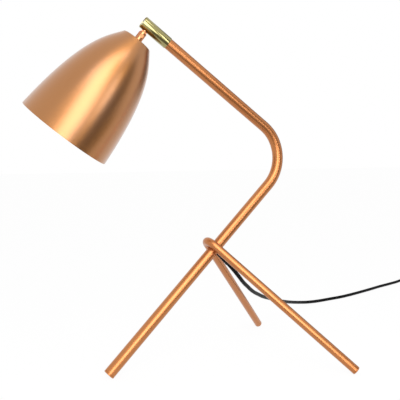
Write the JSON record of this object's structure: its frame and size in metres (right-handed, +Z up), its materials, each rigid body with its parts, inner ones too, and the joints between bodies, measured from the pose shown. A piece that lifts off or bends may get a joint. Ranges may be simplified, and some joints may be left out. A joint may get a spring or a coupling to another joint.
{
  "type": "table lamp",
  "caption": "Tripod table lamp: bent copper tube mast on a hairpin of thinner legs, tilting bell shade on a turning brass sleeve, cord with in-line switch and plug.",
  "frame": {"origin": "on the floor, in the middle of the width and depth of the lamp without its cord", "axes": "+Z up; the mast and arm lie in the plane Y = 0; the arm reaches back towards -X; the shade turns out towards +Y at rest; the cord leaves towards +X"},
  "size_m": [1.0884, 0.4928, 0.4927],
  "materials": {
    "copper_tube": "copper-plated tube, lacquered, fine drawn grain along the tube",
    "copper_cap": "copper-plated, satin",
    "copper_fitting": "copper-plated brass, turned and milled",
    "copper_shade": "copper-coloured satin, fine spinning grain round the axis",
    "brass_sleeve": "polished",
    "brass_plain": "machined",
    "steel_plain": "zinc-plated",
    "holder_plastic": "moulded, white",
    "bulb_cap_metal": "rolled thread",
    "bulb_glass": "opal glass",
    "lead_sleeve": "white sleeve",
    "cord_black": "smooth, semi-gloss",
    "switch_black": "fine grain, semi-gloss",
    "plug_black": "moulded",
    "pin_metal": "nickel-plated"
  },
  "bodies": {
    "stand": {"mast_tube": "copper_tube", "leg_hairpin": "copper_tube", "leg_weld": "copper_tube", "mast_foot_cap": "copper_cap", "right_foot_cap": "copper_cap", "rear_foot_cap": "copper_cap", "cord_relief": "cord_black", "grip_screw": "copper_cap", "mast_lead": "cord_black", "arm_bush": "brass_plain", "stop_pin": "steel_plain", "swivel_screw": "steel_plain", "spring_washer": "steel_plain", "cord_run": "cord_black", "switch_base": "switch_black", "switch_cover": "switch_black", "switch_terminals": "brass_plain", "switch_screws": "steel_plain", "cord_link": "cord_black", "cord_coil": "cord_black", "coil_tie": "cord_black", "cord_end": "cord_black", "plug_body": "plug_black", "plug_pins": "pin_metal"},
    "sleeve": {"swivel_sleeve": "brass_sleeve", "sleeve_cap": "brass_sleeve", "knuckle_tongue": "copper_fitting"},
    "head": {"knuckle_fork": "copper_fitting", "pivot_screw": "brass_plain", "pivot_nut": "brass_plain", "shade": "copper_shade", "shade_washer": "steel_plain", "shade_nut": "steel_plain", "holder_cap": "holder_plastic", "holder_body": "holder_plastic", "holder_shell": "brass_plain", "holder_contact": "brass_plain", "bulb_cap": "bulb_cap_metal", "bulb_glass": "bulb_glass", "head_lead": "lead_sleeve"},
    "rocker": {"switch_rocker": "switch_black"}
  },
  "joints": [
    {"name": "sleeve_swivel", "type": "hinge", "parent": "stand", "child": "sleeve", "pos_m": [-0.04272, 0, 0.47984], "axis": [-0.8028, 0, 0.5962], "range_deg": [-116, 143]},
    {"name": "shade_tilt", "type": "hinge", "parent": "sleeve", "child": "head", "pos_m": [-0.05229, 0.00385, 0.46696], "axis": [0.1392, 0.9724, 0.1874], "range_deg": [-35, 60]},
    {"name": "switch_rocker", "type": "hinge", "parent": "stand", "child": "rocker", "pos_m": [0.76288, 0.33099, 0.0115], "axis": [-0.2756, 0.9613, 0], "range_deg": [0, 14]}
  ]
}
